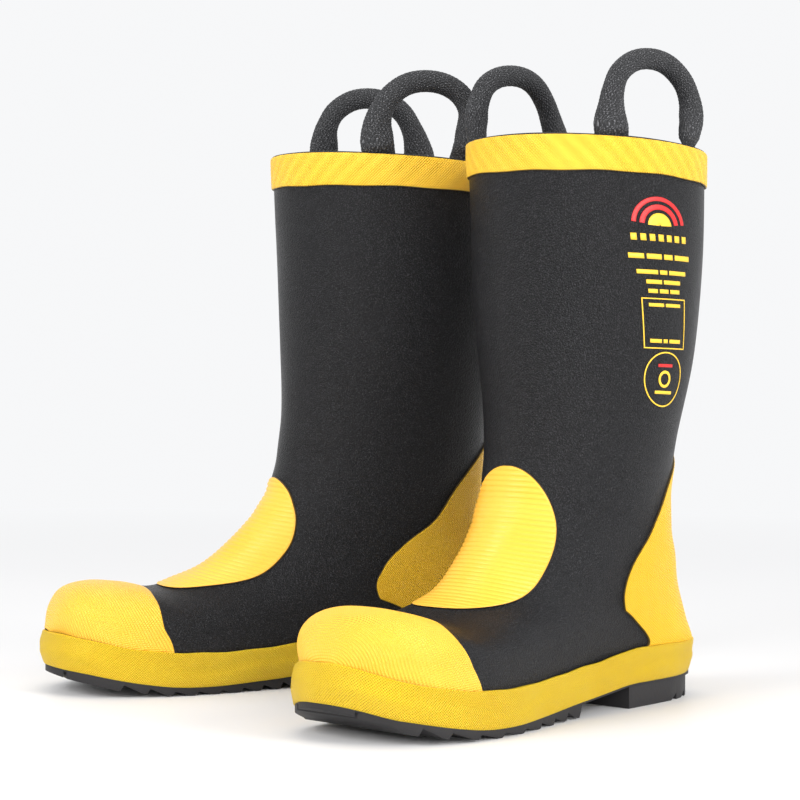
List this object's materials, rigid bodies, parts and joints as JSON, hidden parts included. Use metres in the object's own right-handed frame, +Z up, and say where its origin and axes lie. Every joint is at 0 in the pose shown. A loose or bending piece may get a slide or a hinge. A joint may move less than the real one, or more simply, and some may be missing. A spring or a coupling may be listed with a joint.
{
  "type": "pair of firefighting boots",
  "caption": "Pair of calf-high rubber firefighting boots with bonded toe, shin and heel guards, foxed sole with heel, felt lining, steel toe and midsole, and woven pull loops.",
  "frame": {"origin": "middle of the pair's box on the ground", "axes": "+Z up; the toes point towards -Y, each turned out; the left boot is on +X"},
  "size_m": [0.3414, 0.3467, 0.3868],
  "materials": {
    "upper_rubber": "satin pebbled",
    "band_rubber": "satin, fine weave",
    "toe_rubber": "satin, fine ribs",
    "guard_rubber": "satin, ribbed",
    "foxing_rubber": "satin, fine knurl",
    "sole_rubber": "matte",
    "binding": "matte",
    "felt": "needled felt",
    "lining_fabric": "knitted",
    "steel": "bare steel",
    "edge_foam": "matte",
    "board": "pressed fibre",
    "footbed_foam": "textile on foam",
    "print_ink": "screen print",
    "loop_weave": "tubular braid",
    "loop_cord": "braided cord"
  },
  "bodies": {
    "right_boot": {"right_leg_shell": "upper_rubber", "right_vamp": "upper_rubber", "right_felt_insulation": "felt", "right_lining": "lining_fabric", "right_collar_band": "band_rubber", "right_collar_binding": "binding", "right_toe_cover": "toe_rubber", "right_steel_toe_cap": "steel", "right_toe_cap_edge_strip": "edge_foam", "right_shin_guard": "guard_rubber", "right_heel_counter": "guard_rubber", "right_leg_print": "print_ink", "right_foxing_band": "foxing_rubber", "right_outsole": "sole_rubber", "right_heel_block": "sole_rubber", "right_steel_midsole": "steel", "right_steel_shank": "steel", "right_insole_board": "board", "right_footbed": "footbed_foam", "right_outer_loop_tails": "loop_weave", "right_inner_loop_tails": "loop_weave"},
    "right_outer_loop": {"right_outer_loop_sleeve": "loop_weave", "right_outer_loop_core": "loop_cord"},
    "right_inner_loop": {"right_inner_loop_sleeve": "loop_weave", "right_inner_loop_core": "loop_cord"},
    "left_boot": {"left_leg_shell": "upper_rubber", "left_vamp": "upper_rubber", "left_felt_insulation": "felt", "left_lining": "lining_fabric", "left_collar_band": "band_rubber", "left_collar_binding": "binding", "left_toe_cover": "toe_rubber", "left_steel_toe_cap": "steel", "left_toe_cap_edge_strip": "edge_foam", "left_shin_guard": "guard_rubber", "left_heel_counter": "guard_rubber", "left_leg_print": "print_ink", "left_foxing_band": "foxing_rubber", "left_outsole": "sole_rubber", "left_heel_block": "sole_rubber", "left_steel_midsole": "steel", "left_steel_shank": "steel", "left_insole_board": "board", "left_footbed": "footbed_foam", "left_outer_loop_tails": "loop_weave", "left_inner_loop_tails": "loop_weave"},
    "left_outer_loop": {"left_outer_loop_sleeve": "loop_weave", "left_outer_loop_core": "loop_cord"},
    "left_inner_loop": {"left_inner_loop_sleeve": "loop_weave", "left_inner_loop_core": "loop_cord"}
  },
  "joints": [
    {"name": "left_boot_lift", "type": "slide", "parent": "right_boot", "child": "left_boot", "axis": [0, 0, 1], "range_m": [0, 0.25]},
    {"name": "right_outer_loop_fold", "type": "hinge", "parent": "right_boot", "child": "right_outer_loop", "pos_m": [-0.131, 0.07017, 0.34], "axis": [-0.3461, -0.9382, 0], "range_deg": [-30, 45], "stiffness_Nm_per_rad": 0.4},
    {"name": "right_inner_loop_fold", "type": "hinge", "parent": "right_boot", "child": "right_inner_loop", "pos_m": [-0.02099, 0.03368, 0.34], "axis": [0.2501, 0.9682, 0], "range_deg": [-30, 45], "stiffness_Nm_per_rad": 0.4},
    {"name": "left_outer_loop_fold", "type": "hinge", "parent": "left_boot", "child": "left_outer_loop", "pos_m": [0.13501, 0.08796, 0.34], "axis": [-0.0824, 0.9966, 0], "range_deg": [-30, 45], "stiffness_Nm_per_rad": 0.4},
    {"name": "left_inner_loop_fold", "type": "hinge", "parent": "left_boot", "child": "left_inner_loop", "pos_m": [0.02408, 0.07318, 0.34], "axis": [0.2276, -0.9737, 0], "range_deg": [-30, 45], "stiffness_Nm_per_rad": 0.4}
  ]
}
